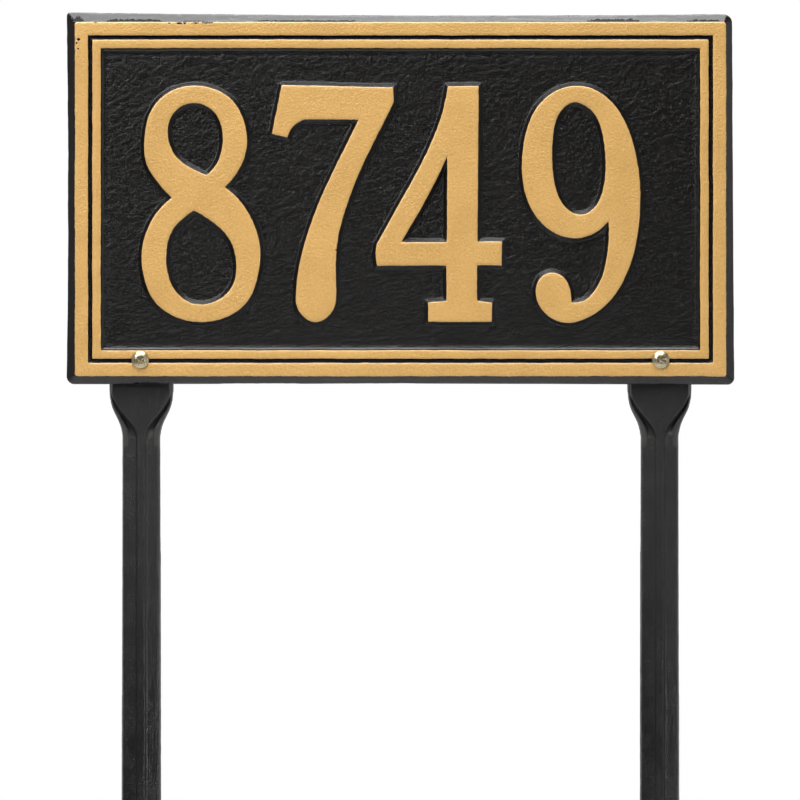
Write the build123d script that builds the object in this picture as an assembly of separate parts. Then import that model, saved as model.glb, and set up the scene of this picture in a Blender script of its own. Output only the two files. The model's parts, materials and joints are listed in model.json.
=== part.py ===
"""House number plaque on two lawn stakes, in millimetres.

+Z is up, the face looks along -Y, and the origin is on the soil line midway between the stakes,
in the plane where the back of the plaque meets them.
"""

import os
from math import atan2, cos, pi, sin, sqrt, tan

from build123d import *

# Plaque: one casting with a sloping edge, a two-line border and raised numerals
PLATE_WIDTH = 420.0  # across the middle of the back
PLATE_HEIGHT = 232.4  # across the middle of the back
PLATE_THICK = 9.5  # back to the top of border and numerals
PLATE_ABOVE_SOIL = 262.5  # lower edge
CORNER_FLARES = ((1.0, 2.0), (-0.3, 0.8), (0.95, 0.85), (1.0, 0.6))  # past the middles of the edges
CORNER_ROUNDS = (2.2, 5.5, 4.5, 5.0)  # both clockwise from the upper left
EDGE_LAND = 4.5  # upright part of the edge at the back
EDGE_RUN = 4.8  # slope of the edge as seen from the front
FRONT_CORNER = 1.4
RELIEF = 3.2  # border and numerals above the field
LINE_ROUND = 0.7  # upper edges of the plaque's edge and of the groove
BORDER_RUN = 1.9  # slope of the border's inner wall
BORDER_TOP = 1.1  # round of its upper edge
BORDER_FOOT = 1.8  # round where it meets the field
OUTER_BAND = 8.0
GROOVE_WIDTH = 2.7
GROOVE_DEPTH = 2.0
GROOVE_RUN = 0.7
GROOVE_FOOT = 0.3
INNER_BAND = 5.3

# Numerals
NUMERAL_HEIGHT = 148.9
NUMERAL_RUN = 2.6  # slope of the walls
NUMERAL_TOP = 1.2  # round of their upper edges
NUMERAL_FOOT = 0.6  # round where they meet the field

# Stakes
STAKE_INSET = 45.8  # centre of each stake from the end of the plaque
STAKE_LENGTH = 457.0  # 18 inches
STAKE_DEPTH = 7.0  # front of the rib to the back
TAB_WIDTH = 41.0
TAB_LAP = 30.0  # tab behind the plaque
TAB_CORNER = 6.0
SHOULDER_DROP = 4.0  # start of the shoulder below the plaque
SHOULDER_LENGTH = 32.0
NECK_WIDTH = 24.4
STAKE_WIDTH = 25.4  # at the soil
PAD_MARGIN = 2.5  # flat front of the tab to its outline
PAD_START = 6.5  # where the pad begins to narrow, below the plaque
PAD_DROP = 34.0  # where the pad has narrowed to the rib, below the plaque
RIB_WIDTH = 4.8
RIB_STEP = 1.6  # front of pad and rib to the flange
SPINE_RUN = 1.9  # slope of the sides of pad and rib
SPINE_DEPTH = 6.0  # how deep the sides reach
SPINE_ROUND = 0.35
HOLLOW_WIDTH = 6.0  # how far the hollows beside the pad widen to its lower end
HOLLOW_RUN = 2.2  # slope of their outer sides
HOLLOW_BACK = 1.2  # how far under the pad they begin
HOLLOW_DEPTH = 5.0  # front of the pad to their floor
HOLLOW_END = 3.0  # below the end of the pad, where they run out
FLANGE_FALL = 1.4  # flange is thinner at its outer edges
SIDE_RUN = 2.2  # slope of the sides from back to front
POINT_LENGTH = 60.0
POINT_WIDTH = 5.0
POINT_DEPTH = 3.0
POINT_SET = 2.5  # front of the tip behind the front of the rib

# Fasteners
SCREW_ABOVE_EDGE = 14.9
SCREW_DIAMETER = 4.8
SCREW_CLEARANCE = 0.7  # in the plaque and the tabs, on diameter
HEAD_DIAMETER = 11.1
HEAD_RIM = 0.9
HEAD_HEIGHT = 3.0
RECESS_ARM = 1.3
RECESS_ARM_FLOOR = 0.9
RECESS_SPAN = 5.8
RECESS_SPAN_FLOOR = 2.9
RECESS_DEPTH = 1.7
RECESS_TURN = 42.0  # degrees
WASHER_DIAMETER = 8.8
WASHER_THICK = 1.3
WASHER_SPLIT = 0.9
WASHER_CLEARANCE = 0.4
NUT_FLATS = 9.5
NUT_THICK = 3.3
NUT_CHAMFER = 0.5
NUT_CLEARANCE = 0.1
SCREW_TAIL = 2.0  # past the nut
SCREW_LEAD = 0.5  # chamfer at the end of the tail

# Numerals as drawn on their own scale: each outline runs clockwise from the baseline and the
# left end, and a stroke of two points is straight while a longer one is a smooth curve.
DRAWN_HEIGHT = 148.9
DRAWN_BASE = -77.4  # baseline from the middle of the plaque
EIGHT_LEFT = -163.3  # left ends from the middle of the plaque
SEVEN_LEFT = -81.1
FOUR_LEFT = -15.4
NINE_LEFT = 76.5
EIGHT = [
    [
        [(19.4, 78.2), (9.1, 89.6), (2.5, 102.2), (1.8, 113.0), (3.8, 127.5), (11.0, 140.1),
         (34.3, 148.9), (56.4, 140.1), (64.0, 127.5), (66.2, 115.5), (64.1, 102.2), (59.6, 93.4),
         (51.9, 84.9)],
        [(51.9, 84.9), (61.2, 77.0), (69.4, 64.4), (73.7, 51.7), (74.7, 41.0), (72.4, 26.5),
         (67.3, 13.9), (55.8, 4.4), (36.9, 0.0), (19.2, 4.4), (7.7, 13.9), (2.0, 26.5),
         (0.0, 40.4), (1.4, 51.7), (6.6, 64.4), (19.4, 78.2)],
    ],
    [
        [(40.6, 92.4), (32.8, 95.9), (24.2, 101.4), (18.8, 108.5), (16.3, 119.9), (21.7, 133.8),
         (32.8, 138.2), (44.4, 133.8), (51.4, 113.6), (48.8, 102.2), (40.6, 92.4)],
    ],
    [
        [(32.8, 70.7), (43.2, 64.4), (55.8, 51.7), (59.9, 36.0), (56.0, 20.2), (48.8, 13.9),
         (36.9, 10.7), (27.7, 13.4), (20.6, 20.2), (15.2, 42.9), (19.4, 58.1), (24.9, 64.4),
         (32.8, 70.7)],
    ],
]
SEVEN = [
    [
        [(6.2, 149.2), (76.4, 147.8)],
        [(76.4, 147.8), (76.5, 138.6)],
        [(76.5, 138.6), (64.8, 114.8), (52.9, 89.6), (44.3, 64.4), (40.0, 39.1), (40.5, 20.2),
         (38.4, 7.6), (27.9, 0.0), (16.9, 7.6), (15.4, 20.2), (19.7, 45.4), (30.6, 77.0),
         (42.3, 102.2), (54.8, 127.8)],
        [(54.8, 127.8), (20.3, 128.0)],
        [(20.3, 128.0), (14.6, 124.9), (9.6, 116.7)],
        [(9.6, 116.7), (0.2, 118.8)],
        [(0.2, 118.8), (6.2, 149.2)],
    ],
]
FOUR = [
    [
        [(45.6, 148.4), (64.6, 148.8)],
        [(64.6, 148.8), (63.9, 50.3)],
        [(63.9, 50.3), (79.4, 50.5)],
        [(79.4, 50.5), (79.1, 35.7)],
        [(79.1, 35.7), (63.7, 35.9)],
        [(63.7, 35.9), (63.4, 13.0)],
        [(63.4, 13.0), (73.1, 11.9)],
        [(73.1, 11.9), (72.9, 0.2)],
        [(72.9, 0.2), (33.0, 0.2)],
        [(33.0, 0.2), (32.9, 11.9)],
        [(32.9, 11.9), (44.5, 13.0)],
        [(44.5, 13.0), (44.5, 35.7)],
        [(44.5, 35.7), (0.9, 35.5)],
        [(0.9, 35.5), (0.0, 42.9), (0.6, 48.9)],
        [(0.6, 48.9), (16.2, 77.0), (33.0, 108.5), (45.6, 148.4)],
    ],
    [
        [(45.1, 105.4), (44.9, 50.1)],
        [(44.9, 50.1), (15.5, 50.2)],
        [(15.5, 50.2), (31.0, 76.7), (45.1, 105.4)],
    ],
]
NINE = [
    [
        [(55.1, 65.1), (44.6, 55.5), (31.4, 53.0), (10.9, 64.4), (0.8, 89.6), (1.8, 114.8),
         (14.1, 140.1), (34.8, 148.9), (55.1, 140.1), (69.5, 114.8), (74.3, 89.6), (74.1, 64.4),
         (69.3, 39.1), (56.1, 13.9), (37.5, 1.3), (27.0, -0.4), (16.2, 4.4), (9.0, 19.3),
         (12.5, 28.2), (18.6, 30.8), (26.2, 27.9), (30.2, 20.2), (31.1, 12.2)],
        [(31.1, 12.2), (40.0, 13.5), (46.6, 20.2), (54.6, 45.4), (55.1, 65.1)],
    ],
    [
        [(35.7, 138.5), (43.8, 133.8), (52.8, 108.5), (52.5, 89.6), (44.6, 70.7), (36.9, 67.4),
         (29.1, 70.7), (20.2, 89.6), (19.5, 114.8), (25.1, 133.8)],
    ],
]
NUMERALS = ((EIGHT, EIGHT_LEFT), (SEVEN, SEVEN_LEFT), (FOUR, FOUR_LEFT), (NINE, NINE_LEFT))

PLATE_MIDDLE = PLATE_ABOVE_SOIL + PLATE_HEIGHT / 2
FRONT_WIDTH = PLATE_WIDTH - 2 * EDGE_RUN
FRONT_HEIGHT = PLATE_HEIGHT - 2 * EDGE_RUN
HOLE_DIAMETER = SCREW_DIAMETER + SCREW_CLEARANCE
SCREW_Z = PLATE_ABOVE_SOIL + SCREW_ABOVE_EDGE
STAKE_TOP = PLATE_ABOVE_SOIL + TAB_LAP
STAKE_TIP = STAKE_TOP - STAKE_LENGTH
STAKE_X = PLATE_WIDTH / 2 - STAKE_INSET
SIDES = (-STAKE_X, STAKE_X)


def face_plane(level):
    """Drawing plane seen from the front, level in front of the plaque's back."""
    return Plane.XZ.offset(level)


def edges_of(outline):
    """Edges of an outline; a single stroke that doesn't return to its start closes smoothly."""
    closed = len(outline) == 1 and outline[0][0] != outline[0][-1]
    return [Line(*s) if len(s) == 2 else Spline(*s, periodic=closed) for s in outline]


def mitre(before, after, reach):
    """Step that lies reach to the left of both directions."""
    left_before = Vector(-before.Y, before.X)
    left_after = Vector(-after.Y, after.X)
    return (left_before + left_after) * (reach / (1 + left_before.dot(left_after)))


def grown(outline, reach):
    """A clockwise outline moved outward by reach, with its corners mitred."""
    edges = edges_of(outline)
    closed = len(outline) == 1 and outline[0][0] != outline[0][-1]
    moved = []
    for i, stroke in enumerate(outline):
        ways = [edges[i].tangent_at(Vector(*point)) for point in stroke]
        before, after = list(ways), list(ways)
        if not closed:
            before[0], after[0] = edges[i - 1] % 1, edges[i] % 0
            before[-1], after[-1] = edges[i] % 1, edges[(i + 1) % len(edges)] % 0
        steps = [mitre(a, b, reach) for a, b in zip(before, after)]
        moved.append([(x + step.X, y + step.Y) for (x, y), step in zip(stroke, steps)])
    return moved


def slope_rings(height, run, top_round, foot_round):
    """Reach and drop along a wall: rounded upper edge, straight slope, rounded foot."""
    slope = atan2(height, run)
    half = slope / 2
    upper = top_round * tan(half)
    lower = foot_round * tan(half)
    return [
        (-upper, 0),
        (top_round * sin(half) - upper, top_round * (1 - cos(half))),
        (upper * cos(slope), upper * sin(slope)),
        (run - lower * cos(slope), height - lower * sin(slope)),
        (run + lower - foot_round * sin(half), height - foot_round * (1 - cos(half))),
        (run + lower, height),
    ]


def ringed(outline, rings, top, at, way):
    """Solid whose wall passes through the outline grown by each ring's reach, at its drop."""
    loops = []
    for reach, drop in rings:
        plane = face_plane(top - drop)
        loops.append([plane * at * edge for edge in edges_of(grown(outline, way * reach))])
    walls = []
    for upper, lower in zip(loops, loops[1:]):
        walls += [Face.make_surface_from_curves(high, low) for high, low in zip(upper, lower)]
    caps = [Face(Wire(loops[0])), Face(Wire(loops[-1]))]
    return Part() + Solid(Shell(walls + caps))


def frame_line(inset):
    """Clockwise rectangle that lies inset from the plaque's front edge."""
    x, y = FRONT_WIDTH / 2 - inset, FRONT_HEIGHT / 2 - inset
    corners = [(-x, y), (x, y), (x, -y), (-x, -y)]
    return [[corners[i], corners[(i + 1) % 4]] for i in range(4)]


def back_outline():
    """Outline of the plaque's back: hollow edges between rounded corners."""
    x, y = PLATE_WIDTH / 2, PLATE_HEIGHT / 2
    ways = ((-1, 1), (1, 1), (1, -1), (-1, -1))
    corners = [(a * (x + dx), b * (y + dy)) for (a, b), (dx, dy) in zip(ways, CORNER_FLARES)]
    middles = [(0, y), (x, 0), (0, -y), (-x, 0)]
    arcs = [ThreePointArc(corners[i], middles[i], corners[(i + 1) % 4]) for i in range(4)]
    shape = make_face(arcs)
    for corner, radius in zip(corners, CORNER_ROUNDS):
        shape = fillet(shape.vertices().sort_by_distance(corner)[0], radius)
    return shape


def make_plaque():
    """Plate with its border and numerals standing on the field."""
    top = PLATE_THICK
    middle = Pos(0, PLATE_MIDDLE)
    back = middle * back_outline()
    sections = [face_plane(EDGE_LAND) * back]
    for reach, drop in reversed(slope_rings(top - EDGE_LAND, EDGE_RUN, LINE_ROUND, 0)[:3]):
        width, height = FRONT_WIDTH + 2 * reach, FRONT_HEIGHT + 2 * reach
        ring = RectangleRounded(width, height, FRONT_CORNER + reach)
        sections.append(face_plane(top - drop) * middle * ring)
    plaque = extrude(Plane.XZ * back, EDGE_LAND) + loft(sections, ruled=True)

    groove = slope_rings(GROOVE_DEPTH, GROOVE_RUN, LINE_ROUND, GROOVE_FOOT)
    outer = ringed(frame_line(OUTER_BAND), groove, top, middle, -1)
    inner = ringed(frame_line(OUTER_BAND + GROOVE_WIDTH), groove, top, middle, 1)
    plaque -= outer - inner
    field = frame_line(OUTER_BAND + GROOVE_WIDTH + INNER_BAND)
    wall = slope_rings(RELIEF, BORDER_RUN, BORDER_TOP, BORDER_FOOT)
    plaque -= ringed(field, wall, top, middle, -1)

    size = NUMERAL_HEIGHT / DRAWN_HEIGHT
    wall = slope_rings(RELIEF, NUMERAL_RUN, NUMERAL_TOP, NUMERAL_FOOT)
    for drawn, left in NUMERALS:
        at = Pos(left * size, PLATE_MIDDLE + DRAWN_BASE * size)
        loops = [[[(x * size, y * size) for x, y in stroke] for stroke in loop] for loop in drawn]
        numeral = ringed(loops[0], wall, top, at, 1)
        for counter in loops[1:]:
            numeral -= ringed(counter, wall, top, at, -1)
        plaque += numeral

    for x in SIDES:
        hole = face_plane(0) * Pos(x, SCREW_Z) * Circle(HOLE_DIAMETER / 2)
        plaque -= extrude(hole, PLATE_THICK)
    return plaque


def mirrored(strokes):
    """The left half of an outline whose right half is given from top to foot."""
    return [[(-x, y) for x, y in reversed(stroke)] for stroke in reversed(strokes)]


def stake_outline():
    """Front view of a stake, clockwise: tab, shoulders, flange and point."""
    tab, neck, body, point = TAB_WIDTH / 2, NECK_WIDTH / 2, STAKE_WIDTH / 2, POINT_WIDTH / 2
    high = PLATE_ABOVE_SOIL - SHOULDER_DROP
    low = high - SHOULDER_LENGTH
    bow = TAB_CORNER * (1 - sqrt(0.5))
    bends = ((0.0, 0.0), (0.06, 0.18), (0.27, 0.39), (0.65, 0.59), (0.92, 0.79), (1.0, 1.0))
    right = [
        [(0, STAKE_TOP), (tab - TAB_CORNER, STAKE_TOP)],
        [(tab - TAB_CORNER, STAKE_TOP), (tab - bow, STAKE_TOP - bow), (tab, STAKE_TOP - TAB_CORNER)],
        [(tab, STAKE_TOP - TAB_CORNER), (tab, high)],
        [(tab - a * (tab - neck), high - b * SHOULDER_LENGTH) for a, b in bends],
        [(neck, low), (body, 0)],
        [(body, 0), (body, STAKE_TIP + POINT_LENGTH)],
        [(body, STAKE_TIP + POINT_LENGTH), (point, STAKE_TIP)],
        [(point, STAKE_TIP), (0, STAKE_TIP)],
    ]
    return right + mirrored(right)


def pad_bend(widening):
    """Right edge of the pad as it narrows to the rib, moved out by a share of the widening."""
    wide, narrow = TAB_WIDTH / 2 - PAD_MARGIN, RIB_WIDTH / 2
    high = PLATE_ABOVE_SOIL - PAD_START
    low = PLATE_ABOVE_SOIL - PAD_DROP
    bends = ((0.0, 0.0), (0.28, 0.33), (0.64, 0.59), (0.9, 0.8), (1.0, 1.0))
    return [(wide - a * (wide - narrow) + b * widening, high - b * (high - low)) for a, b in bends]


def spine_outline():
    """Flat front of the stake, clockwise: the tab's pad, narrowing to the rib."""
    bend = pad_bend(0)
    top, foot = (bend[0][0], STAKE_TOP), (bend[-1][0], STAKE_TIP)
    right = [[(0, STAKE_TOP), top], [top, bend[0]], bend, [bend[-1], foot], [foot, (0, STAKE_TIP)]]
    return right + mirrored(right)


def hollow_outline():
    """Floor of the hollows, clockwise: they widen as the pad between them narrows."""
    bend = pad_bend(HOLLOW_WIDTH)
    high, low = bend[0][1], bend[-1][1] - HOLLOW_END
    end = (RIB_WIDTH / 2, low)
    right = [[(0, high), bend[0]], bend, [bend[-1], end], [end, (0, low)]]
    return right + mirrored(right)


def make_stake():
    """Tab that narrows to a ribbed flange with a point at its foot."""
    wide = TAB_WIDTH / 2
    brink = RIB_STEP + FLANGE_FALL * TAB_WIDTH / STAKE_WIDTH
    section = Polyline(
        (0, RIB_STEP),
        (wide, brink),
        (wide, STAKE_DEPTH),
        (-wide, STAKE_DEPTH),
        (-wide, brink),
        close=True,
    )
    flange = extrude(Plane.XY.offset(STAKE_TIP) * make_face(section), STAKE_LENGTH)
    slope = [(HOLLOW_RUN - HOLLOW_BACK, 0), (-HOLLOW_BACK, HOLLOW_DEPTH)]
    flange -= ringed(hollow_outline(), slope, 0, Pos(0, 0), 1)
    sides = slope_rings(SPINE_DEPTH, SPINE_RUN, SPINE_ROUND, 0)[:4]
    spine = ringed(spine_outline(), sides, 0, Pos(0, 0), 1)

    side = Polyline(
        (0, STAKE_TOP),
        (0, STAKE_TIP + POINT_LENGTH),
        (POINT_SET, STAKE_TIP),
        (POINT_SET + POINT_DEPTH, STAKE_TIP),
        (STAKE_DEPTH, STAKE_TIP + POINT_LENGTH),
        (STAKE_DEPTH, STAKE_TOP),
        close=True,
    )
    stake = flange + spine
    stake &= extrude(Plane.YZ * make_face(side), wide, both=True)
    stake &= ringed(stake_outline(), [(-SIDE_RUN, 0), (0, STAKE_DEPTH)], 0, Pos(0, 0), 1)
    hole = Plane.XZ * Pos(0, SCREW_Z) * Circle(HOLE_DIAMETER / 2)
    return stake - extrude(hole, -STAKE_DEPTH)


def make_screw():
    """Domed screw with a cross recess, its shank running back through plaque and tab."""
    radius, shank = HEAD_DIAMETER / 2, SCREW_DIAMETER / 2
    end = STAKE_DEPTH + WASHER_THICK + NUT_THICK + SCREW_TAIL
    seat = -PLATE_THICK
    brim = seat - HEAD_RIM
    crown = seat - HEAD_HEIGHT
    profile = [
        Line((0, crown), (0, end)),
        Line((0, end), (shank - SCREW_LEAD, end)),
        Line((shank - SCREW_LEAD, end), (shank, end - SCREW_LEAD)),
        Line((shank, end - SCREW_LEAD), (shank, seat)),
        Line((shank, seat), (radius, seat)),
        Line((radius, seat), (radius, brim)),
        TangentArc((0, crown), (radius, brim), tangent=(1, 0)),
    ]
    screw = revolve(make_face(profile), Axis.Y)
    for turn in (RECESS_TURN, RECESS_TURN + 90):
        about = Rot(0, 0, turn)
        mouth = face_plane(-crown) * about * Rectangle(RECESS_SPAN, RECESS_ARM)
        floor = Rectangle(RECESS_SPAN_FLOOR, RECESS_ARM_FLOOR)
        screw -= loft([mouth, face_plane(-crown - RECESS_DEPTH) * about * floor], ruled=True)
    return screw


def make_washer():
    """Spring washer with its split."""
    ring = Circle(WASHER_DIAMETER / 2) - Circle((SCREW_DIAMETER + WASHER_CLEARANCE) / 2)
    ring -= Pos(0, WASHER_DIAMETER / 2) * Rectangle(WASHER_SPLIT, WASHER_DIAMETER)
    return extrude(face_plane(-STAKE_DEPTH) * ring, -WASHER_THICK)


def make_nut():
    """Hexagon nut with its corners turned off at both faces."""
    plane = face_plane(-STAKE_DEPTH - WASHER_THICK)
    flats = RegularPolygon(NUT_FLATS / 2, 6, major_radius=False)
    nut = extrude(plane * flats, -NUT_THICK)
    bar = extrude(plane * Circle(NUT_FLATS / 2 / cos(pi / 6)), -NUT_THICK)
    nut &= chamfer(bar.edges().filter_by(GeomType.CIRCLE), NUT_CHAMFER)
    bore = plane * Circle((SCREW_DIAMETER + NUT_CLEARANCE) / 2)
    return nut - extrude(bore, -NUT_THICK)


def pair(solid):
    """The same piece at both stakes."""
    return Compound(children=[Pos(x, 0, SCREW_Z) * solid.solid() for x in SIDES])


stake = make_stake()
pieces = {
    "plaque": make_plaque(),
    "left_stake": Pos(SIDES[0], 0, 0) * stake,
    "right_stake": Pos(SIDES[1], 0, 0) * stake,
    "screws": pair(make_screw()),
    "lock_washers": pair(make_washer()),
    "nuts": pair(make_nut()),
}
os.makedirs("parts", exist_ok=True)
for name, piece in pieces.items():
    piece.label = name
    export_step(piece, f"parts/{name}.step")
    print(name, round(piece.volume), len(piece.solids()), piece.is_valid)
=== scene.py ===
# %% [markdown]
# A house number plaque on two lawn stakes. The plaque is one aluminium casting, painted black all
# over and then rolled with gold, so only the tops of the border and numerals take the second colour.
# The solid parts are loaded first and never moved: everything below is finish, fine relief and light.

import json
import math

import bmesh
import bpy
import numpy as np
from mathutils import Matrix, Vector, noise
from mathutils.bvhtree import BVHTree
from mathutils.geometry import delaunay_2d_cdt

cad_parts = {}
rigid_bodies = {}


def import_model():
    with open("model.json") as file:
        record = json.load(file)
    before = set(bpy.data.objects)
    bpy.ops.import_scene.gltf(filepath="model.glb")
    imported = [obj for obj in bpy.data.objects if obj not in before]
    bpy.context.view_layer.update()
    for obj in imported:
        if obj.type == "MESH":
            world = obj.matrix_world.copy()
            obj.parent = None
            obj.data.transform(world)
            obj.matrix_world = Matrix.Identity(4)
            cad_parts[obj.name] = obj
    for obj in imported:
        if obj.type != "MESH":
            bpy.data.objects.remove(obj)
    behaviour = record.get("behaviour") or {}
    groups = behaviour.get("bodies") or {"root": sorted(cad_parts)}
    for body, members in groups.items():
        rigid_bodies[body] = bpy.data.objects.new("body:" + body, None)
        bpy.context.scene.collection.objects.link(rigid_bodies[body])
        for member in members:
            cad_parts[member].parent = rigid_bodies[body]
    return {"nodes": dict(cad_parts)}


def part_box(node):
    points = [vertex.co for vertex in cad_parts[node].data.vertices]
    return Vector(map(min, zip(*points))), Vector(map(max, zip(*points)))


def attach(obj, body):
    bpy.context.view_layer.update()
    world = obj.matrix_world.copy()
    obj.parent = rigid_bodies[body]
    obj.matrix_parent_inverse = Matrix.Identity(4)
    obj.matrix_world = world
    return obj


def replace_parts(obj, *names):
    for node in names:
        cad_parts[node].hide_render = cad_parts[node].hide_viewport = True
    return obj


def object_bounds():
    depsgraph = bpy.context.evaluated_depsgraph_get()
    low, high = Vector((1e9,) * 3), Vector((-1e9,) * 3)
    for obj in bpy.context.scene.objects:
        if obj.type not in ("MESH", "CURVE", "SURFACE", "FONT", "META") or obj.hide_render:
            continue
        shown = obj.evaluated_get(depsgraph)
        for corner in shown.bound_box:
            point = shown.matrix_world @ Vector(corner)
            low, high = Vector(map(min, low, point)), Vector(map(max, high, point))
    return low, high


for leftover in list(bpy.data.objects):
    bpy.data.objects.remove(leftover)
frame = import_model()
cad_low, cad_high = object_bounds()
nodes = frame["nodes"]
MM = 0.001
scene = bpy.context.scene
scene.view_settings.view_transform = "Standard"
print("solid parts:", sorted(nodes))

# %% [markdown]
# The picture is taken square on from a few metres away with a long lens, so the edges of the plaque
# stay parallel and the stakes leave the frame at its lower edge. A camera close by with a wide lens
# would show the sides of the plate, which the picture doesn't.

# %% Camera
CAMERA_AWAY = 3.5
VIEW_WIDTH = 0.5048  # across the frame at the face of the plaque
VIEW_MIDDLE = Vector((-0.0003, -0.0095, 0.2520))
SENSOR = 36.0

camera_data = bpy.data.cameras.new("camera")
camera_data.sensor_width = SENSOR
camera_data.lens = SENSOR * CAMERA_AWAY / VIEW_WIDTH
camera = bpy.data.objects.new("camera", camera_data)
camera.location = VIEW_MIDDLE + Vector((0, -CAMERA_AWAY, 0))
camera.rotation_euler = (math.radians(90), 0, 0)
scene.collection.objects.link(camera)
scene.camera = camera
print("lens", round(camera_data.lens), "mm")

# %% [markdown]
# Finishes are shader nodes, and shader maths reads best as arithmetic. `Signal` wraps one socket, so
# that `1 - mask` or `grain * 0.2` adds the Math nodes by itself. `Finish` is one material: its `node`
# method makes any other node from its type, its settings and what feeds its sockets.


# %% Shader arithmetic
class Signal:
    """A shader socket that can be used in sums."""

    def __init__(self, finish, socket):
        self.finish = finish
        self.socket = socket

    def sum(self, operation, *values):
        return self.finish.node("ShaderNodeMath", {"operation": operation}, dict(enumerate(values)))

    def __add__(self, other):
        return self.sum("ADD", self, other)

    def __sub__(self, other):
        return self.sum("SUBTRACT", self, other)

    def __rsub__(self, other):
        return self.sum("SUBTRACT", other, self)

    def __mul__(self, other):
        return self.sum("MULTIPLY", self, other)

    def __truediv__(self, other):
        return self.sum("DIVIDE", self, other)

    def __abs__(self):
        return self.sum("ABSOLUTE", self)

    __radd__ = __add__
    __rmul__ = __mul__

    def larger(self, other):
        return self.sum("MAXIMUM", self, other)

    def ramp(self, low, high):
        """0 at low, 1 at high and smooth between them; low may be the larger."""
        settings = {"interpolation_type": "SMOOTHSTEP"}
        feeds = {"Value": self, "From Min": low, "From Max": high}
        return self.finish.node("ShaderNodeMapRange", settings, feeds)

    def out(self, name):
        """Another output of the same node."""
        return Signal(self.finish, self.socket.node.outputs[name])


class Finish:
    """One material, or the world, with a method for its nodes."""

    def __init__(self, owner):
        owner.use_nodes = True
        self.owner = owner
        self.tree = owner.node_tree
        self.shader = self.tree.nodes.get("Principled BSDF") or self.tree.nodes.get("Background")

    def node(self, kind, settings=None, feeds=None, output=0):
        """A node of one kind: settings first, then values or signals for its sockets."""
        made = self.tree.nodes.new(kind)
        for name, value in (settings or {}).items():
            setattr(made, name, value)
        for socket, value in (feeds or {}).items():
            self.feed(made.inputs[socket], value)
        return Signal(self, made.outputs[output])

    def feed(self, socket, value):
        if isinstance(value, Signal):
            self.tree.links.new(value.socket, socket)
        else:
            socket.default_value = value

    def surface(self, **feeds):
        """Values or signals for the shader's own sockets; Base_Color means Base Color."""
        for name, value in feeds.items():
            self.feed(self.shader.inputs[name.replace("_", " ")], value)

    def place(self):
        """Position on the object in millimetres, as a vector."""
        at = self.node("ShaderNodeTexCoord", output="Object")
        settings = {"operation": "SCALE"}
        return self.node("ShaderNodeVectorMath", settings, {"Vector": at, "Scale": 1 / MM})

    def axes(self, place):
        """The three numbers of a position."""
        apart = self.node("ShaderNodeSeparateXYZ", feeds={0: place})
        return apart.out("X"), apart.out("Y"), apart.out("Z")

    def stretched(self, place, scale):
        """A position stretched along its axes."""
        return self.node("ShaderNodeVectorMath", {"operation": "MULTIPLY"}, {0: place, 1: scale})

    def gap(self, place, spot):
        """Distance from a position to a spot."""
        settings = {"operation": "DISTANCE"}
        return self.node("ShaderNodeVectorMath", settings, {0: place, 1: spot}, output="Value")

    def grain(self, place, size, detail=2.0, rough=0.5, warp=0.0):
        """Noise from 0 to 1 whose features are about size millimetres across."""
        feeds = {"Vector": place, "Scale": 1 / size, "Detail": detail}
        feeds.update({"Roughness": rough, "Distortion": warp})
        return self.node("ShaderNodeTexNoise", feeds=feeds)

    def blend(self, mask, low, high):
        """A colour that goes from low to high with the mask."""
        feeds = {"Factor": mask, 6: low, 7: high}
        return self.node("ShaderNodeMix", {"data_type": "RGBA"}, feeds, output=2)

    def bump(self, height):
        """Normal from a height in millimetres."""
        feeds = {"Height": height, "Strength": 1.0, "Distance": MM}
        return self.node("ShaderNodeBump", feeds=feeds)


def new_finish(name):
    return Finish(bpy.data.materials.new(name))


def wear(piece, finish):
    """Gives a piece one finish."""
    piece.data.materials.clear()
    piece.data.materials.append(finish.owner)


print("Signal and Finish are ready")

# %% [markdown]
# The face of the plaque is a height field: seen from the front, no wall is undercut. The solid has
# only the triangles its shape needs, which leaves nothing to move on the large flat field. So the
# face is divided again: its own edges are kept as constraints, points are added along and between
# them, and each point takes its depth from the solid. A voxel remesh would be shorter, but it would
# blur the edges of the numerals.

# %% Levels of the casting
CLOSE = 0.05 * MM  # places nearer than this lie at one depth
SQUARE_ON = 0.999  # a face that looks this straight to the front is level


def welded(node):
    """The node's mesh, with the vertices that its flat shading keeps apart joined."""
    mesh = bmesh.new()
    mesh.from_mesh(node.data)
    bmesh.ops.remove_doubles(mesh, verts=mesh.verts, dist=0.001 * MM)
    mesh.normal_update()
    return mesh


def deepest_level(solid):
    """Depth of the deepest level face that looks to the front."""
    return max(f.calc_center_median().y for f in solid.faces if f.normal.y < -SQUARE_ON)


plaque_low, plaque_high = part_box("plaque")
TOP = plaque_low.y  # border and numerals
FIELD = deepest_level(welded(nodes["plaque"]))
RELIEF = (FIELD - TOP) / MM
print("top at", round(TOP / MM, 2), "field at", round(FIELD / MM, 2), "mm")

# %% [markdown]
# A fine net needs new points in two places. Each edge that the solid already has is cut into short
# pieces, so that the outline of a numeral can bend. Between the edges, points are laid in rows like a
# honeycomb, which gives triangles of nearly one size. A square grid would be simpler, but its rows
# would show in the gloss. The field gets the most points, because its wrinkles are the finest shape.

# %% Points along and between the edges
STEPS = {"field": 1.05 * MM, "wall": 1.0 * MM, "gold": 1.7 * MM}
EDGE_STEP = 2.0 * MM
EDGE_ROOM = 0.45  # share of a step that stays free beside an edge
IN_FRONT = -1.0
FORWARD = Vector((0, 1, 0))


def zone_of(depth):
    """Which part of the face lies at a depth."""
    if abs(depth - FIELD) < CLOSE:
        return "field"
    return "gold" if abs(depth - TOP) < CLOSE else "wall"


def split(edge, step):
    """Adds points along an edge, so that no part of it is longer than a step."""
    corner = edge.verts[0]
    for left in range(math.ceil(edge.calc_length() / step), 1, -1):
        corner = bmesh.utils.edge_split(edge, corner, 1 / left)[1]


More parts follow.
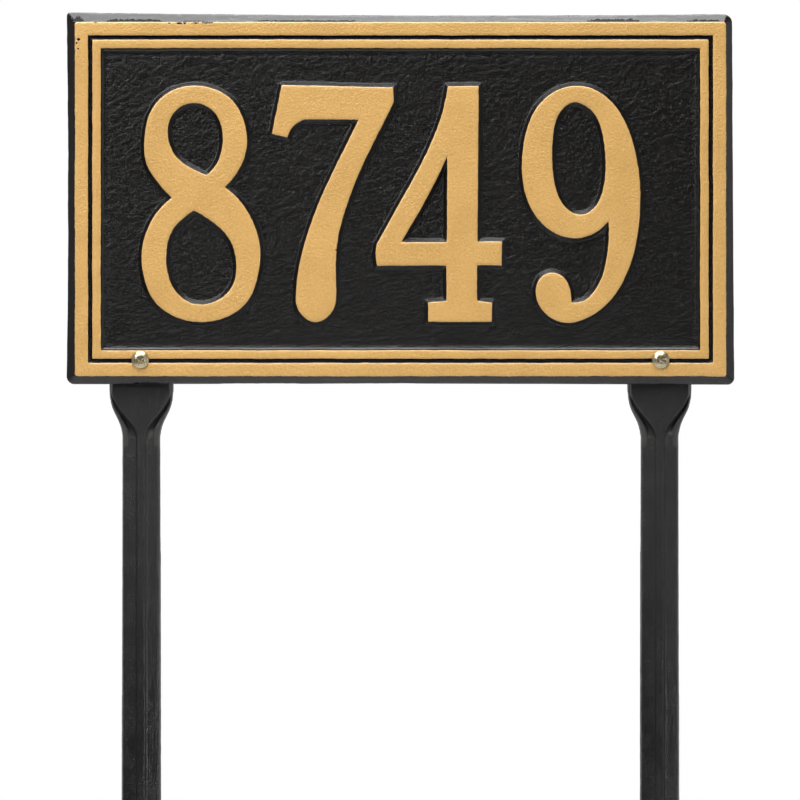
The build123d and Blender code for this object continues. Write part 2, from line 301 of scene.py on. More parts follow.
def hexagon_points(low, high, step):
    """Rows of points a step apart over a rectangle, every second row moved by half a step."""
    rows = np.arange(low.z, high.z, step * math.sqrt(0.75))
    columns = np.arange(low.x, high.x, step)
    for i, z in enumerate(rows):
        for x in columns + (i % 2) * step / 2:
            yield x, z


def hit_from_front(shape, x, z):
    """Where a ray that comes from the front meets a shape, or None."""
    return shape.ray_cast(Vector((x, IN_FRONT, z)), FORWARD)[0]


def added_points(shape, lines):
    """Places between the casting's own edges, each with its depth on the solid."""
    found = []
    for zone, step in STEPS.items():
        for x, z in hexagon_points(plaque_low, plaque_high, step):
            hit = hit_from_front(shape, x, z)
            if hit is None or zone_of(hit.y) != zone:
                continue
            if lines.find_nearest(Vector((x, 0, z)), EDGE_ROOM * step)[0] is None:
                found.append(hit)
    return found


print("steps of", {zone: round(step / MM, 2) for zone, step in STEPS.items()}, "mm")

# %% [markdown]
# Now the front is sewn together again. A constrained triangulation joins all the points and keeps the
# edges of border and numerals as edges, while the sides and the back keep the faces that they have.
# Subdividing the solid's own triangles would be shorter, but they are long slivers, and slivers stay
# slivers when they are divided.

# %% The casting, divided finely
SHARP = math.radians(1)
LOOKS_FORWARD = -0.1


def front_of(solid):
    return [f for f in solid.faces if f.normal.y < LOOKS_FORWARD]


def rest_of(solid):
    return [f for f in solid.faces if f.normal.y >= LOOKS_FORWARD]


def bends(faces):
    """Edges at which the surface turns."""
    edges = {e for f in faces for e in f.edges}
    return sorted((e for e in edges if e.calc_face_angle(1) > SHARP), key=lambda e: e.index)


def sewn(points, kept, shape):
    """Triangles between points seen from the front, with the kept pairs as edges."""
    flat = [Vector((p.x, p.z)) / MM for p in points]
    _, _, triangles, origins, _, _ = delaunay_2d_cdt(flat, kept, [], 0, 1e-5)
    faces = []
    for triangle in triangles:
        corners = [origins[i][0] for i in triangle]
        middle = sum((points[i] for i in corners), Vector()) / 3
        hit = hit_from_front(shape, middle.x, middle.z)
        if hit and hit.y < -CLOSE:
            faces.append(corners)
    return faces


def divided(node):
    """Points and faces of the casting with a finer front, and how many of the points may move."""
    solid = welded(node)
    shape = BVHTree.FromBMesh(solid)
    for edge in bends(front_of(solid)):
        split(edge, EDGE_STEP)
    solid.verts.index_update()
    front = front_of(solid)
    places = [v.co.copy() for v in solid.verts]
    pairs = sorted(sorted(v.index for v in e.verts) for e in bends(front))
    seen_flat = [Vector((p.x, 0, p.z)) for p in places]
    added = added_points(shape, BVHTree.FromPolygons(seen_flat, [[a, b, a] for a, b in pairs]))

    rims = {v.index for f in rest_of(solid) for v in f.verts}
    own = sorted({v.index for f in front for v in f.verts}, key=lambda i: (i in rims, i))
    order = {index: len(added) + i for i, index in enumerate(own)}
    points = added + [places[i] for i in own]
    faces = sewn(points, [[order[a], order[b]] for a, b in pairs], shape)

    free = len(added) + sum(i not in rims for i in own)
    behind = [i for i in range(len(places)) if i not in order]
    order.update({index: len(points) + i for i, index in enumerate(behind)})
    back = [[order[v.index] for v in f.verts] for f in rest_of(solid)]
    return points + [places[i] for i in behind], faces, back, free


casting_points, front_faces, back_faces, free_points = divided(nodes["plaque"])
tops = np.array([p for p in casting_points if abs(p.y - TOP) < CLOSE])
gold_low, gold_high = Vector(tops.min(axis=0)), Vector(tops.max(axis=0))
print("casting:", len(casting_points), "points,", len(front_faces), "triangles in front")

# %% [markdown]
# Sand casting and thick paint leave nothing quite straight. Edges are eased, most of all in the groove
# of the border, the field is wrinkled like leather, the tops are faintly dimpled, and every outline
# wanders by a fraction of a millimetre, while the outer slopes stay smooth. The wander is one smooth
# shift of the whole face, so walls and edges follow it together and nothing folds over. A displacement
# texture could do the wrinkles, but not this mix by depth.

# %% Easing, wrinkles and wander
EASING_ROUNDS = 1
GROOVE_ROUNDS = 2  # the sand fills the groove's corners more
GROOVE_REACH = (6.5 * MM, 12.2 * MM)  # where the groove lies, from the outer line of the gold
WANDER = 0.22  # this and the next values in millimetres
SLOW, QUICK = 17, 4.5  # lengths of the wander's waves
WRINKLE = 0.13
FOLD = (9, 3.4)  # length and width of a wrinkle's folds
PEBBLE = (3.2, 2.3)
BEND = 11  # length over which folds and pebbles bend
DIMPLE = 0.03
CREASED = math.radians(60)  # steeper bends keep a sharp line
SEED = 7  # without it the vector noise differs from run to run

noise.seed_set(SEED)


def inset(x, z):
    """How far a place lies inside the outer line of the gold; less than 0 on the outer slopes."""
    across = np.minimum(x - gold_low.x, gold_high.x - x)
    return np.minimum(across, np.minimum(z - gold_low.z, gold_high.z - z))


def eased(points, faces, free):
    """The points, with the depths of those that may move averaged with their neighbours'."""
    place = np.array(points)
    reach = inset(place[:, 0], place[:, 2])
    grooved = (reach > GROOVE_REACH[0]) & (reach < GROOVE_REACH[1])
    rounds = np.where(grooved, GROOVE_ROUNDS, EASING_ROUNDS)
    rounds[free:] = 0
    corners = np.array(faces)
    pairs = np.concatenate([corners[:, [0, 1]], corners[:, [1, 2]], corners[:, [2, 0]]])
    a, b = pairs.T
    nearness = 1 / np.linalg.norm(place[a][:, [0, 2]] - place[b][:, [0, 2]], axis=1)
    total = np.bincount(a, nearness, len(place)) + np.bincount(b, nearness, len(place))
    for turn in range(GROOVE_ROUNDS):
        moves = turn < rounds
        depth = place[:, 1]
        drawn = np.bincount(a, nearness * depth[b], len(place))
        drawn += np.bincount(b, nearness * depth[a], len(place))
        place[moves, 1] = 0.5 * depth[moves] + 0.5 * drawn[moves] / total[moves]
    return [Vector(p) for p in place]


def wander(x, z):
    """Sideways shift of the casting's outlines, from about -1 to 1."""
    slow = noise.noise_vector(Vector((x / SLOW, z / SLOW, 1.7)))
    quick = noise.noise_vector(Vector((x / QUICK, z / QUICK, 8.3)))
    return slow.x + 0.7 * quick.x, slow.z + 0.7 * quick.z


def wrinkles(x, z):
    """Height of the leathery skin, from about -1 to 1: pebbles, and longer folds between them."""
    bend = noise.noise_vector(Vector((x / BEND, z / BEND, 4.2)))
    along = (x + 0.7 * z) / FOLD[0] + bend.x
    over = (z - 0.6 * x) / FOLD[1] + 1.3 * bend.z
    fold = noise.noise(Vector((along, over, 0.5)))
    near, second = noise.voronoi(Vector((x / PEBBLE[0] + bend.y, z / PEBBLE[1] + bend.x, 0)))[0][:2]
    return 2.4 * min(second - near, 0.5) + 2.0 * abs(fold) - 1.2


def roughcast(point):
    """Where a point of the smooth casting lies on the real one."""
    if point.y > -CLOSE or inset(point.x, point.z) < 0:
        lift = 0
    else:
        low = min(max((point.y - TOP) / (FIELD - TOP), 0), 1) ** 4
        lift = (DIMPLE + (WRINKLE - DIMPLE) * low) * wrinkles(point.x / MM, point.z / MM)
    shift = wander(point.x / MM, point.z / MM)
    x = min(max(point.x + WANDER * MM * shift[0], plaque_low.x), plaque_high.x)
    z = min(max(point.z + WANDER * MM * shift[1], plaque_low.z), plaque_high.z)
    return Vector((x, point.y - lift * MM, z))


def mesh_piece(name, points, faces):
    """A smooth-shaded mesh that rides on the body."""
    mesh = bpy.data.meshes.new(name)
    mesh.from_pydata(points, [], faces)
    mesh.shade_smooth()
    mesh.set_sharp_from_angle(angle=CREASED)
    piece = bpy.data.objects.new(name, mesh)
    scene.collection.objects.link(piece)
    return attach(piece, "root")


soft_points = [roughcast(p) for p in eased(casting_points, front_faces, free_points)]
casting = mesh_piece("plaque_casting", soft_points, front_faces + back_faces)
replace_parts(casting, "plaque")
print("casting spans", [round(d / MM, 1) for d in casting.dimensions])

# %% [markdown]
# The gold was rolled over the tops, and in a few places it has come away and shows the black under it.
# Each chip is a small ellipse around a given place, with noise to tear its edge. One noise texture with
# a high threshold would scatter chips for less work, but not where this plaque has them.

# %% Chips in the gold
CHIPS = (  # x, z, half width and half height in millimetres
    (-203.2, 479.5, 1.0, 0.9),
    (-204.3, 477.2, 0.7, 0.7),
    (-203.4, 473.7, 0.6, 0.6),
    (-192.3, 490.3, 0.9, 0.4),
    (-145.9, 489.9, 1.0, 0.5),
    (-139.6, 489.8, 1.9, 0.6),
    (-136.2, 489.9, 1.1, 0.8),
    (-129.5, 489.9, 2.1, 0.5),
    (-122.2, 490.1, 4.0, 0.5),
    (26.6, 436.3, 0.7, 0.7),
    (-40.5, 346.7, 0.6, 0.6),
)


def chipped(paint, place):
    """1 where the gold has come away."""
    ragged = paint.grain(place, 1.1, 2.0)
    bare = 0.0
    for x, z, width, height in CHIPS:
        shrunk = paint.stretched(place, (1 / width, 0, 1 / height))
        reach = paint.gap(shrunk, (x / width, 0, z / height)) + 1.6 * (ragged - 0.5)
        bare = reach.ramp(1.1, 0.8).larger(bare)
    return bare


print(len(CHIPS), "chips")

# %% [markdown]
# The upper edge has been knocked in a few places. Each knock left slanting nicks that start at the
# gold and run up the slope, dull where the paint is scraped. One line of noise along the edge gives
# every nick its height, so the nicks taper by themselves, and no nick has to be drawn.

# %% Nicks in the upper edge
NICKED = (  # from and to along the edge, and height, in millimetres
    (-207.5, -199.5, 4.5),
    (-186.0, -150.0, 1.9),
    (-138.0, -121.0, 0.7),
    (-92.0, -27.0, 1.1),
    (118.0, 151.0, 2.2),
    (181.0, 203.0, 1.6),
)
NICK_BASE = 1.1  # the gold turns over the corner this far
NICK_LEAN = 0.7  # sideways for each millimetre up
NICK_WIDTH = 2.6


def nicked(paint, place):
    """1 in the nicks of the upper edge."""
    across, _, up = paint.axes(place)
    above = up - gold_high.z / MM - NICK_BASE
    leaning = paint.node("ShaderNodeCombineXYZ", feeds={"X": across - NICK_LEAN * above})
    ragged = paint.grain(leaning, NICK_WIDTH, 3.0, 0.7)
    marks = 0.0
    for low, high, tall in NICKED:
        middle, half = (low + high) / 2, (high - low) / 2
        span = abs(across - middle).ramp(half + 1, half - 4)
        height = tall * (span * 0.7 + 3.2 * (ragged - 0.5))
        marks = ((height - above).ramp(0, 0.5) * span.ramp(0, 0.2)).larger(marks)
    return marks * above.ramp(-0.2, 0.1)


print(len(NICKED), "nicked spans")

# %% [markdown]
# Two paints share the casting. The black went on first; the gold was rolled over the tops, so it ends
# a little way down each rounded edge, on a line that is never quite even. Each part of the face also
# has a skin of its own. So the face is first divided into masks, 1 in a part and 0 outside it, and two
# measures make them all: the depth below the top, and the distance from the outer line of the gold.
# Painting masks by hand would work too, but these follow the shape and are never out of place.

# %% Parts of the face
GOLD_REACH = 0.38  # how far down a rounded edge the gold runs, in millimetres
GOLD_RAGGED = 0.45
HEM_END = (-22, -20)  # the foot of the border's inner wall runs out into the field here
BLUR = 0.5  # width of a mask's edge inside the border
FACING_UP = (0.2, 0.6)  # upward share of the normal, from none to full


class Face:
    """Measures and masks of the plaque's face."""

    def __init__(self, paint, place):
        across, behind, up = paint.axes(place)
        middle, half = (gold_low + gold_high) / 2 / MM, (gold_high - gold_low) / 2 / MM
        outside = (abs(across - middle.x) - half.x).larger(abs(up - middle.z) - half.z)
        near, far = (reach / MM for reach in GROOVE_REACH)
        depth = behind - TOP / MM
        edge = GOLD_REACH + GOLD_RAGGED * (paint.grain(place, 1.7, 3.0) - 0.5)
        normal = paint.node("ShaderNodeNewGeometry", output="Normal")
        self.depth = depth
        self.gold = (depth - edge).ramp(0.08, -0.08) * (1 - chipped(paint, place))
        self.black = 1 - self.gold
        self.field = depth.ramp(RELIEF - 0.5, RELIEF - 0.1) * depth.ramp(RELIEF + 0.6, RELIEF + 0.3)
        self.inner = outside.ramp(-far, -far - BLUR)
        self.groove = outside.ramp(-near, -near - BLUR) * (1 - self.inner)
        self.hem = self.inner * outside.ramp(*HEM_END)
        self.rim = outside.ramp(-1, 1)
        self.facing_up = paint.axes(normal)[2].ramp(*FACING_UP)


print("field", round(RELIEF, 2), "mm below the gold")

# %% [markdown]
# Some of the relief is too fine for the mesh and is left to bump. The sand gave the field the grain of
# leather, the walls specks, and the outer slopes a slow waviness. In the border the paint ran: it left
# blobs in the groove, and it hollowed the inner wall, which is why a bright line follows its foot. All
# heights are in millimetres, so they can be compared with the solid.

# %% Relief too fine for the mesh
LEATHER = 0.36
SPECKS = 0.25
BLOBS = 0.3
WAVES = 0.6
LEANING_WALL = (1.3, 2.6)  # depths between which the border's inner wall leans back


def waves(paint, place):
    """Slow unevenness of the outer slopes, around 0."""
    return paint.grain(place, 9, 3.0, 0.6) - 0.5


def sand_print(paint, place, face):
    """Height of the black's rough skin."""
    level = paint.grain(paint.stretched(place, (0.8, 1.0, 1.1)), 1.4, 3.0, 0.7)
    steep = paint.grain(paint.stretched(place, (1.2, 1.0, 0.55)), 1.3, 3.0, 0.7)
    leather = face.field * LEATHER * (0.9 * level + 1.1 * steep)
    specks = (1 - face.field) * (1 - face.hem) * SPECKS * paint.grain(place, 0.9, 2.0, 0.6)
    blobs = (face.groove + face.hem) * BLOBS * paint.grain(place, 0.8, 1.0).ramp(0.60, 0.70)
    return face.inner * (leather + specks) + blobs + face.rim * WAVES * waves(paint, place)


def paint_runs(face):
    """Height of the paint that ran on the border's inner wall and on the groove's lower side."""
    start, end = LEANING_WALL
    leaning = (face.depth - start).larger(0) - (face.depth - end).larger(0)
    hollowed = face.hem * (0.47 * leaning - 0.22 * face.depth)
    return hollowed + face.groove * face.facing_up * 0.45 * face.depth


print("leather up to", LEATHER, "mm high")

# %% [markdown]
# Black and gold are both glossy enamels. The black lies over the sand's rough skin; the gold is
# thicker, shows a fine orange peel and has a clear coat over its pigment. It varies a little in tone,
# as a rolled paint does. One material holds both, mixed by the gold's mask, so the colour follows the
# shape and no outline has to be drawn twice.

# %% Paints of the plaque
GOLD_LOW = (0.622, 0.364, 0.114, 1)
GOLD_HIGH = (0.738, 0.442, 0.146, 1)
BLACK = (0.004, 0.0034, 0.0029, 1)
PEEL = 0.45
NICK_DEPTH = 0.4


def plaque_finish():
    paint = new_finish("plaque_paint")
    place = paint.place()
    face = Face(paint, place)
    nicks = nicked(paint, place)
    fine = paint.grain(place, 0.6, 2.0)
    peel = paint.grain(place, 1.5, 3.0, 0.6)
    tint = 0.5 * paint.grain(place, 24, 4.0) + 0.5 * paint.grain(place, 1.6, 2.0)
    gold_tone = paint.blend(tint.ramp(0.3, 0.7), GOLD_LOW, GOLD_HIGH)
    gold_skin = PEEL * peel + 0.12 * fine
    black_skin = sand_print(paint, place, face) + paint_runs(face) + 0.08 * fine
    skin = face.gold * gold_skin + face.black * black_skin
    glossier = 0.08 * face.field + 0.10 * face.hem * (1 - face.field)
    duller = 0.15 * face.rim * waves(paint, place) + 0.6 * nicks
    paint.surface(
        Base_Color=paint.blend(face.gold, BLACK, gold_tone),
        Roughness=0.22 + 0.06 * fine - glossier + duller,
        Coat_Weight=0.6 * face.gold,
        Coat_Roughness=0.15,
        Normal=paint.bump(skin - NICK_DEPTH * nicks),
    )
    return paint


wear(casting, plaque_finish())
print("plaque painted with", len(casting.active_material.node_tree.nodes), "nodes")

# %% [markdown]
# The stakes are castings too, but rougher: straight from the sand, with soft corners and a thin coat
# of black. Here the look is all in the soft edges, so the solid goes through a voxel remesh, which
# turns it into an even skin, and a few rounds of smoothing take the corners off. A bevel would keep
# the faces flat, which no sand casting is.

# %% Castings of the stakes
SKIN_STEP = 0.62 * MM
SKIN_ROUNDS = 2
LUMPS = 0.07  # height of the sand's print in millimetres


def lump(at):
    """Height of the sand's print at a place in millimetres."""
    return LUMPS * MM * (noise.noise(at / 7) + 0.6 * noise.noise(at / 2.6))


def recast(name, step, rounds):
    """A node's shape as an even skin with soft corners, in the node's place."""
    shape = welded(nodes[name])
    mesh = bpy.data.meshes.new(name)
    shape.to_mesh(mesh)
    piece = bpy.data.objects.new(name + "_casting", mesh)
    scene.collection.objects.link(piece)
    skin = piece.modifiers.new("skin", "REMESH")
    skin.mode = "VOXEL"
    skin.voxel_size = step
    smooth = piece.modifiers.new("soft corners", "SMOOTH")
    smooth.iterations = rounds
    graph = bpy.context.evaluated_depsgraph_get()
    piece.data = bpy.data.meshes.new_from_object(piece.evaluated_get(graph))
    piece.modifiers.clear()
    piece.data.shade_smooth()
    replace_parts(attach(piece, "root"), name)
    return piece


def roughen(piece, name, heights):
    """Moves each of a piece's points outward by its height, but never past the node's own box."""
    points = [v.co.copy() for v in piece.data.vertices]
    ways_out = [v.normal.copy() for v in piece.data.vertices]
    moved = [p + out * height for p, out, height in zip(points, ways_out, heights)]
    inside = np.clip(moved, *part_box(name))
    piece.data.vertices.foreach_set("co", inside.astype(np.float32).ravel())
    piece.data.update()


print("skin of", round(SKIN_STEP / MM, 2), "mm")

# %% [markdown]
# Beside each pad the casting has a crease. It starts at the shoulder, runs in along the pad and opens
# into the hollow that the solid already has. So the skin is pressed in along that line. Its place is
# measured by rays from the front, row by row: the pad's flat front ends at one place and the outline
# of the stake at another, and the crease lies between them. Sculpting it by hand would be quicker to
# see, but the two stakes would differ.

# %% Strips beside the pads
STRIP_ROWS = range(215, 263)  # heights above the soil in millimetres
SCAN = 0.25
PAD_FRONT = 0.3 * MM  # what lies this near to the foremost depth is the flat front


def measured(name):
    """Middle of a stake, half widths of its flat front and outline by height, depth of its flange."""
    shape = BVHTree.FromBMesh(welded(nodes[name]))
    low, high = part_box(name)
    middle = (low.x + high.x) / 2
    steps = np.arange(0, (high.x - low.x) / 2 / MM + SCAN, SCAN)
    fronts, outlines = [], []
    for z in reversed(STRIP_ROWS):
        hits = [hit_from_front(shape, middle + step * MM, z * MM) for step in steps]
        outlines.append(SCAN * sum(hit is not None for hit in hits))
        fronts.append(SCAN * sum(hit is not None and hit.y < low.y + PAD_FRONT for hit in hits))
    flange = [(step, hit.y / MM) for step, hit in zip(steps, hits) if hit]
    return middle / MM, fronts[::-1], outlines[::-1], flange


def strip_share(at, middle, fronts, outlines):
    """Where a place lies between the edge of the flat front, 0, and the outline, 1."""
    inner = np.interp(at.z, STRIP_ROWS, fronts)
    outer = np.interp(at.z, STRIP_ROWS, outlines)
    return (abs(at.x - middle) - inner) / (outer - inner)


print("strips from", STRIP_ROWS[0], "to", STRIP_ROWS[-1], "mm above the soil")

# %% [markdown]
# The crease is deepest a quarter of the way across its strip and fades out at both ends. Below it the
# hollow's foot is filled softly up to the flange, as sand leaves it. A groove cut with a boolean would
# have hard edges, so each point of the skin is moved back by a soft step instead.

# %% Creases beside the pads
CREASE = 1.5  # depth in millimetres
CREASE_DEEPEST = 0.28  # share of the way across the strip
CREASE_EDGE = 0.56
CREASE_START = (257, 250)  # heights in millimetres, from none to full, as in the next values
CREASE_FADE = (228, 238)
FRONT_ONLY = (5.0, 3.5)  # depths: the back isn't pressed in
HOLLOW_FILL = (238, 227)
HOLLOW_REST = (218, 220)
HOLLOW_REACH = (0.85, 6)  # share of the strip and depth that the fill goes to


def ramp(value, low, high):
    """The same soft step as a Signal's ramp."""
    share = min(max((value - low) / (high - low), 0), 1)
    return share * share * (3 - 2 * share)


def pressed(at, share, middle, flange):
    """Depth of a place with the crease pressed in and the foot of the hollow running out softly."""
    along = ramp(at.z, *CREASE_START) * ramp(at.z, *CREASE_FADE) * ramp(at.y, *FRONT_ONLY)
    over = ramp(share, 0, CREASE_DEEPEST) * ramp(share, CREASE_EDGE, CREASE_DEEPEST)
    depth = at.y + CREASE * along * over
    flat = np.interp(abs(at.x - middle), *zip(*flange))
    widest, deepest = HOLLOW_REACH
    if 0 < share < widest and flat < depth < deepest:
        depth += (flat - depth) * ramp(at.z, *HOLLOW_FILL) * ramp(at.z, *HOLLOW_REST)
    return depth


print("creases", CREASE, "mm deep")

# %% [markdown]
# The creases get painted shade, darker paint where shade falls in them, and the lip beside them gets a
# painted highlight, paler paint where light catches it. The left crease of each stake is painted dark
# all the way down, the right one only at its upper end, with painted light at its foot. The painted
# shade is kept as a number on each point of the mesh, because a material can read such an attribute but
# can't measure the solid.

# %% Painted shade and highlight of the creases
# These place painted shade in the creases, and a painted highlight on the lip and at the right crease's
# foot.
PAD_LINE = (-0.06, 0.04)  # shares of the way across the strip, from none to full
LEFT_DARK = (0.62, 0.28)
RIGHT_DARK = (0.5, 0.2)
LIT_LIP = (0.48, 0.72)
LEFT_FADE = (225, 231)  # heights in millimetres, from none to full
RIGHT_FADE = (238, 247)
RIGHT_LIT = (240, 234)
LIT_LIP_FADE = (268, 255)
SHADE_FADE = (220, 225)


def painted_crease_shade(at, share, middle):
    """1 for painted shade deep in a crease, -1 for a painted highlight on the lip outside it."""
    inside = ramp(share, *PAD_LINE) * ramp(at.z, *CREASE_START)
    if at.x < middle:
        painted_shade = ramp(share, *LEFT_DARK) * ramp(at.z, *LEFT_FADE)
    else:
        # the right crease: painted shade at its upper end, painted light at its foot
        shade_then_light = 0.6 * ramp(at.z, *RIGHT_FADE) - 0.5 * ramp(at.z, *RIGHT_LIT)
        painted_shade = ramp(share, *RIGHT_DARK) * shade_then_light
    # painted highlight on the lip beside the crease
    lit_lip = ramp(share, *LIT_LIP) * ramp(at.z, *LIT_LIP_FADE)
    return (inside * painted_shade - lit_lip) * ramp(at.z, *SHADE_FADE)


print("shade from", SHADE_FADE[0], "to", LIT_LIP_FADE[0], "mm above the soil")

# %% [markdown]
# The stakes have one thin coat of black. It is painted paler towards the top, a painted falloff of the
# light towards the soil, and it is a little duller there. Just under the plaque it is painted darker, a
# painted shadow of the plate, and in the creases it carries painted shade. The casting was filed in long
# strokes, and it carries the grain of the sand in patches. Long strokes are noise stretched along the
# stake. An image of scratches could do the same, but it would have to be laid over every bend of the
# casting.

# %% Paint of the stakes
# one black, painted lit and painted in shade
LIT_BLACK = (0.0170, 0.0165, 0.0167, 1)
SHADED_BLACK = (0.003, 0.003, 0.0028, 1)
# colour of the painted highlight on the lips
PAINTED_LIP_LIGHT = (0.048, 0.047, 0.045, 1)
# heights over which the black is painted paler, a painted falloff of light towards the soil
PAINTED_FALLOFF = (0, 230)  # heights in millimetres
# heights of a painted shadow of the plaque across the top of each stake
PAINTED_PLAQUE_SHADOW = (250, 261)
FILED = 0.25  # this and the next two are heights of the bump in millimetres
SAND = 0.45
FINE = 0.14


def stake_finish():
    paint = new_finish("stake_paint")
    place = paint.place()
    up = paint.axes(place)[2]
    # the crease attribute: painted shade above 0, painted highlight below 0
    crease = paint.node("ShaderNodeAttribute", {"attribute_name": "crease"}, output="Fac")
    painted_shade, painted_lip_light = crease.ramp(0, 1), crease.ramp(0, -1)
    fine = paint.grain(place, 0.8, 3.0)
    sand = paint.grain(place, 1.7, 3.0, 0.6)
    filed = paint.grain(paint.stretched(place, (1.0, 1.0, 0.06)), 0.9, 3.0)
    patch = paint.grain(place, 14, 2.0).ramp(0.35, 0.65)
    # painted light: paler towards the top
    high = up.ramp(*PAINTED_FALLOFF)
    streaks = 0.4 * (filed - 0.5) + 0.6 * (fine - 0.5)
    # painted light with random streaks, less under the plaque, a painted shadow, and none in the
    # creases, painted shade
    painted_light_and_streaks = (high + streaks) * (1 - 0.4 * up.ramp(*PAINTED_PLAQUE_SHADOW)) * (1 - painted_shade)
    paint.surface(
        Base_Color=paint.blend(painted_lip_light, paint.blend(painted_light_and_streaks, SHADED_BLACK, LIT_BLACK), PAINTED_LIP_LIGHT),
        Roughness=0.21 + 0.12 * high + 0.16 * fine + 0.35 * painted_shade,
        Normal=paint.bump(FILED * filed + SAND * sand * patch + FINE * fine),
    )
    return paint


stake_paint = stake_finish()
print("stake paint with", len(stake_paint.tree.nodes), "nodes")

# %% [markdown]
# Both stakes come from one pattern, so one loop makes them: the even skin first, then the creases, and
# last the sand's print over everything. The painted shade of the creases is measured before the skin
# moves.

# %% Stakes, cast and painted
for name in ("left_stake", "right_stake"):
    stake = recast(name, SKIN_STEP, SKIN_ROUNDS)
    middle, fronts, outlines, flange = measured(name)
    places = [v.co / MM for v in stake.data.vertices]
    shares = [strip_share(at, middle, fronts, outlines) for at in places]
    # painted shade and highlight of the creases, one number for each point
    painted_shades = [painted_crease_shade(at, share, middle) for at, share in zip(places, shares)]
    stake.data.attributes.new("crease", "FLOAT", "POINT").data.foreach_set("value", painted_shades)
    depths = [pressed(at, share, middle, flange) * MM for at, share in zip(places, shares)]
    for vertex, depth in zip(stake.data.vertices, depths):
        vertex.co.y = depth
    stake.data.update()
    roughen(stake, name, [lump(at) for at in places])
    wear(stake, stake_paint)
    print(stake.name, len(stake.data.polygons), "faces")

# %% [markdown]
# The screws are brass gone pale and dull, darker in a ring around the recess and a little darker inside
# it. The nuts are yellower brass and the washers plain steel. One finish serves all three: a metal that
# is darker where noise says it is stained. The darker ring of the screws follows the distance from the
# middle of the head, folded over so that one formula fits both.

# %% Metals of the fasteners
RECESS_RING = (0.50, 0.42)  # shares of the head's radius, from clean to dark
RECESS_FLOOR = (0.28, 0.36)  # from paler to fully dark
STAIN = 0.45  # brightness that a stain, or the ring around a recess, leaves
DULL_BUMP = 0.05


def recess(metal, place):
    """1 in a darker ring around a screw's recess, less inside it."""
    low, high = (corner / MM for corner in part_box("screws"))
    radius, up = (high.z - low.z) / 2, (high.z + low.z) / 2
    across, _, height = metal.axes(place)
    folded = metal.node("ShaderNodeCombineXYZ", feeds={"X": abs(across), "Z": height})
    away = metal.gap(folded, (high.x - radius, 0, up)) / radius
    return away.ramp(*RECESS_RING) * (0.4 + 0.6 * away.ramp(*RECESS_FLOOR))


def metal_finish(name, colour, roughness, darkened=None):
    metal = new_finish(name)
    place = metal.place()
    dull = metal.grain(place, 0.9, 4.0, 0.6)
    clean = dull.ramp(0.3, 0.6)
    if darkened:
        clean = clean * (1 - darkened(metal, place))
    darker = tuple(STAIN * c for c in colour[:3]) + (1,)
    metal.surface(
        Base_Color=metal.blend(clean, darker, colour),
        Metallic=1.0,
        Roughness=roughness + 0.2 * (dull - 0.5),
        Normal=metal.bump(DULL_BUMP * dull),
    )
    return metal


brass = metal_finish("screw_brass", (0.60, 0.52, 0.34, 1), 0.34, recess)
nut_brass = metal_finish("nut_brass", (0.62, 0.50, 0.28, 1), 0.3)
steel = metal_finish("washer_steel", (0.5, 0.5, 0.5, 1), 0.3)
print("metals:", brass.owner.name, nut_brass.owner.name, steel.owner.name)

# %% [markdown]
# A screw's head is worn round, so the screws get the same even skin as the stakes, in finer steps, and
# many rounds of smoothing. Moving the points by nothing only keeps them inside the solid's own box.
# Nuts and washers are cut from bar and wire and keep their meshes: there a small bevel breaks the
# edges, so that they catch the light.

# %% Screws, nuts and washers
SCREW_STEP = 0.25 * MM
SCREW_ROUNDS = 8
BEVEL_BEND = math.radians(35)


def soften(piece, width):
    """Rounds a solid's edges by a width in millimetres."""
    bevel = piece.modifiers.new("round edges", "BEVEL")
    bevel.width = width * MM
    bevel.segments = 2
    bevel.limit_method = "ANGLE"
    bevel.angle_limit = BEVEL_BEND


screws = recast("screws", SCREW_STEP, SCREW_ROUNDS)
roughen(screws, "screws", [0] * len(screws.data.vertices))
wear(screws, brass)
for name, metal, width in (("nuts", nut_brass, 0.2), ("lock_washers", steel, 0.15)):
    wear(nodes[name], metal)
    soften(nodes[name], width)
    print(name, "edges rounded by", width, "mm")
print("screws:", len(screws.data.polygons), "faces")

# %% [markdown]
# The light is a studio's. A wide softbox overhead draws the bright lines along every edge that faces
# up. A softbox at the upper left has a grid that keeps it off the stakes' feet. A small weak fill
# stands low at the right, narrowed onto the stakes, so that their ribs show. One sky texture would be
# simpler, but it would lay a veil of gloss over the black.


# %% Softboxes
def softbox(name, place, aim, size, power, spread=180):
    """A rectangular lamp: place, aim and size in metres, power in watts, spread in degrees."""
    data = bpy.data.lights.new(name, "AREA")
    data.shape = "RECTANGLE"
    data.size, data.size_y = size
    data.energy = power
    data.spread = math.radians(spread)
    lamp = bpy.data.objects.new(name, data)
    lamp.location = place
    lamp.rotation_euler = (Vector(aim) - Vector(place)).to_track_quat("-Z", "Y").to_euler()
    lamp.visible_camera = False
    scene.collection.objects.link(lamp)


softbox("overhead", (-0.1, -0.175, 1.5), (-0.1, -0.175, 0.38), (1.5, 1.85), 54)
softbox("key", (-1.6, -2.2, 1.7), (-0.2, 0, 0.5), (1.0, 1.0), 4.2, 60)
softbox("fill", (1.5, -2.0, 0.2), (-0.08, 0, 0.03), (0.4, 0.4), 0.16, 16)
print("three softboxes")

# %% [markdown]
# The room in front of the object is dim, so the black stays black; behind it is a white backdrop, and
# pale walls stand at the far left and right, which the slanting edges mirror. The camera sees plain
# white everywhere. That is done in the world, by the kind of ray: a real white room would light the
# object from all sides and flatten it.

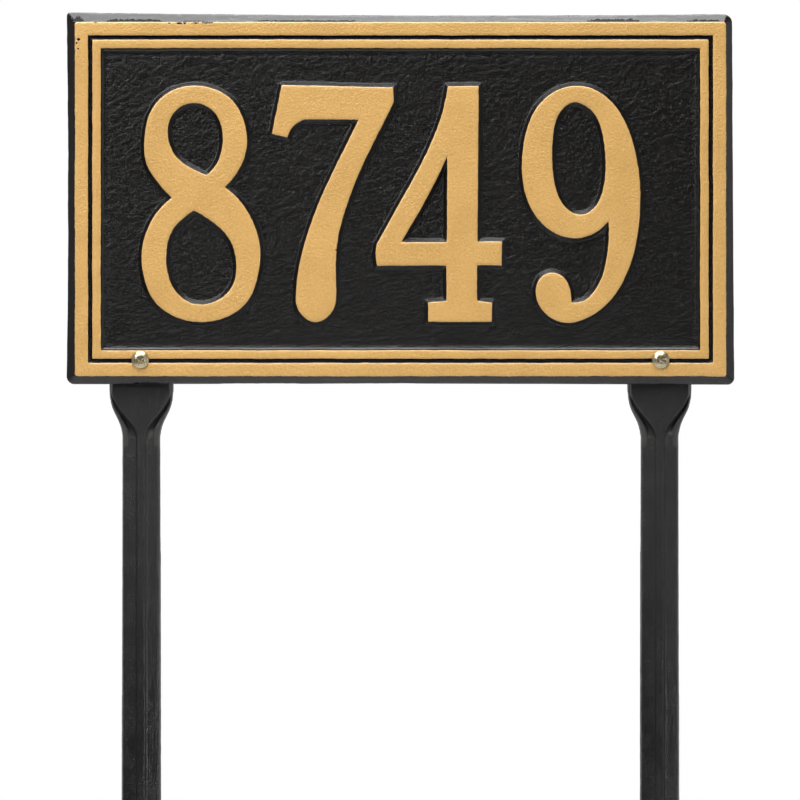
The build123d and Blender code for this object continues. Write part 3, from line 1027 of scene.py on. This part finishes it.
# %% Room and backdrop
ROOM = 0.05

world = bpy.data.worlds.new("studio")
scene.world = world
studio = Finish(world)
way = studio.node("ShaderNodeTexCoord", output="Generated")
side, back, _ = studio.axes(way)
rays = studio.node("ShaderNodeLightPath")
seen = rays.out("Is Camera Ray").larger(rays.out("Is Transmission Ray"))
backdrop = back.ramp(0.4, 1.0) * (0.4 + 0.6 * rays.out("Is Glossy Ray"))
walls = 0.7 * side.ramp(0.7, 1.0) + 0.3 * side.ramp(-0.7, -1.0)
dim = ROOM + (1 - ROOM) * backdrop.larger(walls)
studio.surface(Color=(1, 1, 1, 1), Strength=seen + (1 - seen) * dim)
print("backdrop white, room at", ROOM)

# %% [markdown]
# The stakes stand on a plain pale floor, at the level of their points. It takes their shadow and throws
# some light up under the plaque. It is a disc that turns clear towards its rim, so that no horizon
# shows behind the object. A large plane would do, but its far edge would cut the white backdrop.

# %% Floor
FLOOR_RADIUS = 1.4  # in metres
FLOOR_FADE = 0.5  # radius at which it begins to turn clear
FLOOR_TONE = (0.65, 0.65, 0.65, 1)


def floor_disc():
    """A pale disc under the stakes that fades into the backdrop at its rim."""
    mesh = bmesh.new()
    bmesh.ops.create_circle(mesh, cap_ends=True, segments=96, radius=FLOOR_RADIUS)
    data = bpy.data.meshes.new("floor")
    mesh.to_mesh(data)
    disc = bpy.data.objects.new("floor", data)
    disc.location.z = cad_low.z
    scene.collection.objects.link(disc)
    finish = new_finish("floor")
    finish.surface(Base_Color=FLOOR_TONE, Roughness=0.9)
    away = finish.gap(finish.node("ShaderNodeTexCoord", output="Object"), (0, 0, 0))
    clear = finish.node("ShaderNodeBsdfTransparent")
    pale = Signal(finish, finish.shader.outputs[0])
    fading = away.ramp(FLOOR_FADE, FLOOR_RADIUS)
    mixed = finish.node("ShaderNodeMixShader", feeds={0: fading, 1: pale, 2: clear})
    finish.feed(finish.tree.nodes["Material Output"].inputs["Surface"], mixed)
    wear(disc, finish)


floor_disc()
print("floor at", round(cad_low.z, 4))
